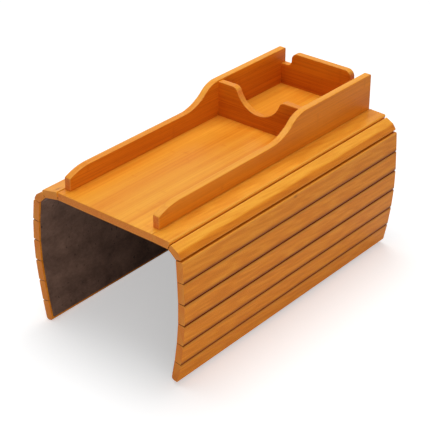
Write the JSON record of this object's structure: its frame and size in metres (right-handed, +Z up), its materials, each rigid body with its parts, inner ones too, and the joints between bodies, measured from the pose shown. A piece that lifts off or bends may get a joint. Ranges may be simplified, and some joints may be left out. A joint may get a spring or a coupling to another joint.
{
  "type": "sofa arm tray",
  "caption": "Bamboo tray with low side rails and a deep rear compartment, whose felt-backed slatted wings drape down both sides of a sofa arm.",
  "frame": {"origin": "middle of the felt underside of the centre board, where it lies on the sofa arm", "axes": "+X to the right across the sofa arm, +Y along the tray towards the high end of its rails, +Z up"},
  "size_m": [0.2063, 0.36, 0.2042],
  "materials": {
    "bamboo": "carbonised bamboo, clear satin lacquer",
    "felt": "dark brown-grey pressed felt",
    "screws": "zinc plated"
  },
  "bodies": {
    "tray_top": {"centre_board": "bamboo", "board_felt": "felt", "left_rail": "bamboo", "right_rail": "bamboo", "notched_divider": "bamboo", "rear_panel": "bamboo", "left_rail_screws": "screws", "right_rail_screws": "screws", "divider_screws": "screws", "rear_panel_screws": "screws"},
    "right_wing_1": {"right_slat_1": "bamboo", "right_felt_1": "felt"},
    "right_wing_2": {"right_slat_2": "bamboo", "right_felt_2": "felt"},
    "right_wing_3": {"right_slat_3": "bamboo", "right_felt_3": "felt"},
    "right_wing_4": {"right_slat_4": "bamboo", "right_felt_4": "felt"},
    "right_wing_5": {"right_slat_5": "bamboo", "right_felt_5": "felt"},
    "right_wing_6": {"right_slat_6": "bamboo", "right_felt_6": "felt"},
    "right_wing_7": {"right_slat_7": "bamboo", "right_felt_7": "felt"},
    "right_wing_8": {"right_slat_8": "bamboo", "right_felt_8": "felt"},
    "left_wing_1": {"left_slat_1": "bamboo", "left_felt_1": "felt"},
    "left_wing_2": {"left_slat_2": "bamboo", "left_felt_2": "felt"},
    "left_wing_3": {"left_slat_3": "bamboo", "left_felt_3": "felt"},
    "left_wing_4": {"left_slat_4": "bamboo", "left_felt_4": "felt"},
    "left_wing_5": {"left_slat_5": "bamboo", "left_felt_5": "felt"},
    "left_wing_6": {"left_slat_6": "bamboo", "left_felt_6": "felt"},
    "left_wing_7": {"left_slat_7": "bamboo", "left_felt_7": "felt"},
    "left_wing_8": {"left_slat_8": "bamboo", "left_felt_8": "felt"}
  },
  "joints": [
    {"name": "right_fold_1", "type": "hinge", "parent": "tray_top", "child": "right_wing_1", "pos_m": [0.06325, 0, 0], "axis": [0, 1, 0], "range_deg": [-2, 15]},
    {"name": "right_fold_2", "type": "hinge", "parent": "right_wing_1", "child": "right_wing_2", "pos_m": [0.08224, 0, -0.00066], "axis": [0, 1, 0], "range_deg": [-7, 4]},
    {"name": "right_fold_3", "type": "hinge", "parent": "right_wing_2", "child": "right_wing_3", "pos_m": [0.09066, 0, -0.00773], "axis": [0, 1, 0], "range_deg": [-10, 3]},
    {"name": "right_fold_4", "type": "hinge", "parent": "right_wing_3", "child": "right_wing_4", "pos_m": [0.09189, 0, -0.0311], "axis": [0, 1, 0], "range_deg": [-1, 24]},
    {"name": "right_fold_5", "type": "hinge", "parent": "right_wing_4", "child": "right_wing_5", "pos_m": [0.09271, 0, -0.05449], "axis": [0, 1, 0], "range_deg": [-3, 28]},
    {"name": "right_fold_6", "type": "hinge", "parent": "right_wing_5", "child": "right_wing_6", "pos_m": [0.0923, 0, -0.07788], "axis": [0, 1, 0], "range_deg": [-4, 34]},
    {"name": "right_fold_7", "type": "hinge", "parent": "right_wing_6", "child": "right_wing_7", "pos_m": [0.09026, 0, -0.10119], "axis": [0, 1, 0], "range_deg": [-3, 47]},
    {"name": "right_fold_8", "type": "hinge", "parent": "right_wing_7", "child": "right_wing_8", "pos_m": [0.087, 0, -0.12437], "axis": [0, 1, 0], "range_deg": [-3, 33]},
    {"name": "left_fold_1", "type": "hinge", "parent": "tray_top", "child": "left_wing_1", "pos_m": [-0.06325, 0, 0], "axis": [0, -1, 0], "range_deg": [-12, 5]},
    {"name": "left_fold_2", "type": "hinge", "parent": "left_wing_1", "child": "left_wing_2", "pos_m": [-0.08183, 0, -0.00395], "axis": [0, -1, 0], "range_deg": [-2, 9]},
    {"name": "left_fold_3", "type": "hinge", "parent": "left_wing_2", "child": "left_wing_3", "pos_m": [-0.08961, 0, -0.01173], "axis": [0, -1, 0], "range_deg": [-1, 12]},
    {"name": "left_fold_4", "type": "hinge", "parent": "left_wing_3", "child": "left_wing_4", "pos_m": [-0.09246, 0, -0.03495], "axis": [0, -1, 0], "range_deg": [-4, 21]},
    {"name": "left_fold_5", "type": "hinge", "parent": "left_wing_4", "child": "left_wing_5", "pos_m": [-0.09369, 0, -0.05832], "axis": [0, -1, 0], "range_deg": [-5, 26]},
    {"name": "left_fold_6", "type": "hinge", "parent": "left_wing_5", "child": "left_wing_6", "pos_m": [-0.09287, 0, -0.08171], "axis": [0, -1, 0], "range_deg": [-5, 33]},
    {"name": "left_fold_7", "type": "hinge", "parent": "left_wing_6", "child": "left_wing_7", "pos_m": [-0.09002, 0, -0.10493], "axis": [0, -1, 0], "range_deg": [-2, 48]},
    {"name": "left_fold_8", "type": "hinge", "parent": "left_wing_7", "child": "left_wing_8", "pos_m": [-0.08636, 0, -0.12805], "axis": [0, -1, 0], "range_deg": [-2, 34]}
  ]
}
